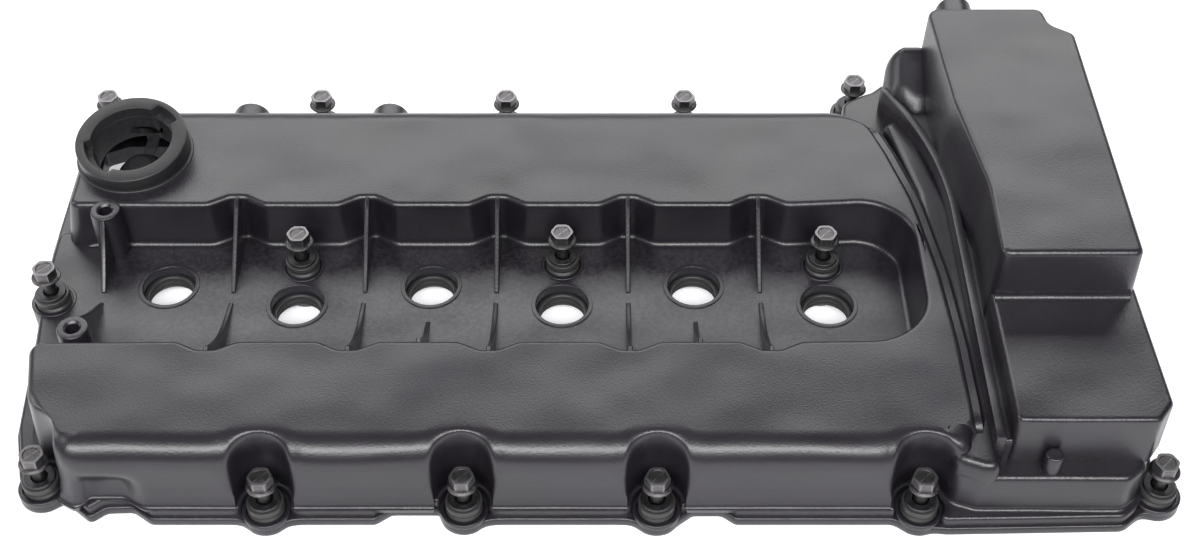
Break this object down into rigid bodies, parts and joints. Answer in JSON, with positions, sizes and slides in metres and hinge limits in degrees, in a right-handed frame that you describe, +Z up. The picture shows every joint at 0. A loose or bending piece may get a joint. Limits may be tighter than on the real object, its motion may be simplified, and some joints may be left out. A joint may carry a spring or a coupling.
{
  "type": "cylinder head cover",
  "caption": "Moulded black cam cover with two humps, a staggered plug valley, an open oil filler neck, an oil separator box and captive flange bolts in rubber grommets.",
  "frame": {"origin": "under the middle of the cover, in the plane of the gasket face that stands on the cylinder head", "axes": "+X along the crankshaft from the oil filler to the separator box, +Y across the engine away from the row of four front bolts, +Z up out of the engine"},
  "size_m": [0.5457, 0.2934, 0.088],
  "materials": {
    "cover_nylon": "satin, fine moulded grain",
    "neck_nylon": "satin",
    "inner_nylon": "matte",
    "gasket_rubber": "matte",
    "seal_rubber": "satin",
    "grommet_rubber": "satin",
    "sleeve_steel": "dark phosphate",
    "bolt_steel": "dark phosphate, bright worn edges"
  },
  "bodies": {
    "cover": {"cover_flange_front": "cover_nylon", "cover_flange_rear": "cover_nylon", "cover_flange_left": "cover_nylon", "cover_flange_right": "cover_nylon", "cover_front_wall": "cover_nylon", "cover_front_roof": "cover_nylon", "cover_rear_wall": "cover_nylon", "cover_rear_roof": "cover_nylon", "cover_end_housing": "cover_nylon", "cover_valley": "cover_nylon", "cover_valley_ribs": "cover_nylon", "cover_screw_posts": "cover_nylon", "separator_housing": "cover_nylon", "separator_floor": "inner_nylon", "separator_baffles": "inner_nylon", "separator_drain_tube": "inner_nylon", "filler_neck": "neck_nylon", "filler_splash_guard": "neck_nylon", "breather_port": "cover_nylon", "perimeter_gasket": "gasket_rubber", "plug_seal_1": "seal_rubber", "plug_seal_2": "seal_rubber", "plug_seal_3": "seal_rubber", "plug_seal_4": "seal_rubber", "plug_seal_5": "seal_rubber", "plug_seal_6": "seal_rubber", "bolt_sleeves": "sleeve_steel", "bolt_grommets": "grommet_rubber"},
    "bolt_01_body": {"bolt_01": "bolt_steel"},
    "bolt_02_body": {"bolt_02": "bolt_steel"},
    "bolt_03_body": {"bolt_03": "bolt_steel"},
    "bolt_04_body": {"bolt_04": "bolt_steel"},
    "bolt_05_body": {"bolt_05": "bolt_steel"},
    "bolt_06_body": {"bolt_06": "bolt_steel"},
    "bolt_07_body": {"bolt_07": "bolt_steel"},
    "bolt_08_body": {"bolt_08": "bolt_steel"},
    "bolt_09_body": {"bolt_09": "bolt_steel"},
    "bolt_10_body": {"bolt_10": "bolt_steel"},
    "bolt_11_body": {"bolt_11": "bolt_steel"},
    "bolt_12_body": {"bolt_12": "bolt_steel"},
    "bolt_13_body": {"bolt_13": "bolt_steel"},
    "bolt_14_body": {"bolt_14": "bolt_steel"},
    "bolt_15_body": {"bolt_15": "bolt_steel"},
    "bolt_16_body": {"bolt_16": "bolt_steel"}
  },
  "joints": [
    {"name": "bolt_01_travel", "type": "slide", "parent": "cover", "child": "bolt_01_body", "axis": [0, 0, 1], "range_m": [-0.0094, 0]},
    {"name": "bolt_02_travel", "type": "slide", "parent": "cover", "child": "bolt_02_body", "axis": [0, 0, 1], "range_m": [-0.0094, 0]},
    {"name": "bolt_03_travel", "type": "slide", "parent": "cover", "child": "bolt_03_body", "axis": [0, 0, 1], "range_m": [-0.0094, 0]},
    {"name": "bolt_04_travel", "type": "slide", "parent": "cover", "child": "bolt_04_body", "axis": [0, 0, 1], "range_m": [-0.0094, 0]},
    {"name": "bolt_05_travel", "type": "slide", "parent": "cover", "child": "bolt_05_body", "axis": [0, 0, 1], "range_m": [-0.0094, 0]},
    {"name": "bolt_06_travel", "type": "slide", "parent": "cover", "child": "bolt_06_body", "axis": [0, 0, 1], "range_m": [-0.0094, 0]},
    {"name": "bolt_07_travel", "type": "slide", "parent": "cover", "child": "bolt_07_body", "axis": [0, 0, 1], "range_m": [-0.0094, 0]},
    {"name": "bolt_08_travel", "type": "slide", "parent": "cover", "child": "bolt_08_body", "axis": [0, 0, 1], "range_m": [-0.0094, 0]},
    {"name": "bolt_09_travel", "type": "slide", "parent": "cover", "child": "bolt_09_body", "axis": [0, 0, 1], "range_m": [-0.0094, 0]},
    {"name": "bolt_10_travel", "type": "slide", "parent": "cover", "child": "bolt_10_body", "axis": [0, 0, 1], "range_m": [-0.0094, 0]},
    {"name": "bolt_11_travel", "type": "slide", "parent": "cover", "child": "bolt_11_body", "axis": [0, 0, 1], "range_m": [-0.0094, 0]},
    {"name": "bolt_12_travel", "type": "slide", "parent": "cover", "child": "bolt_12_body", "axis": [0, 0, 1], "range_m": [-0.0094, 0]},
    {"name": "bolt_13_travel", "type": "slide", "parent": "cover", "child": "bolt_13_body", "axis": [0, 0, 1], "range_m": [-0.0094, 0]},
    {"name": "bolt_14_travel", "type": "slide", "parent": "cover", "child": "bolt_14_body", "axis": [0, 0, 1], "range_m": [-0.0094, 0]},
    {"name": "bolt_15_travel", "type": "slide", "parent": "cover", "child": "bolt_15_body", "axis": [0, 0, 1], "range_m": [-0.0094, 0]},
    {"name": "bolt_16_travel", "type": "slide", "parent": "cover", "child": "bolt_16_body", "axis": [0, 0, 1], "range_m": [-0.0094, 0]}
  ]
}
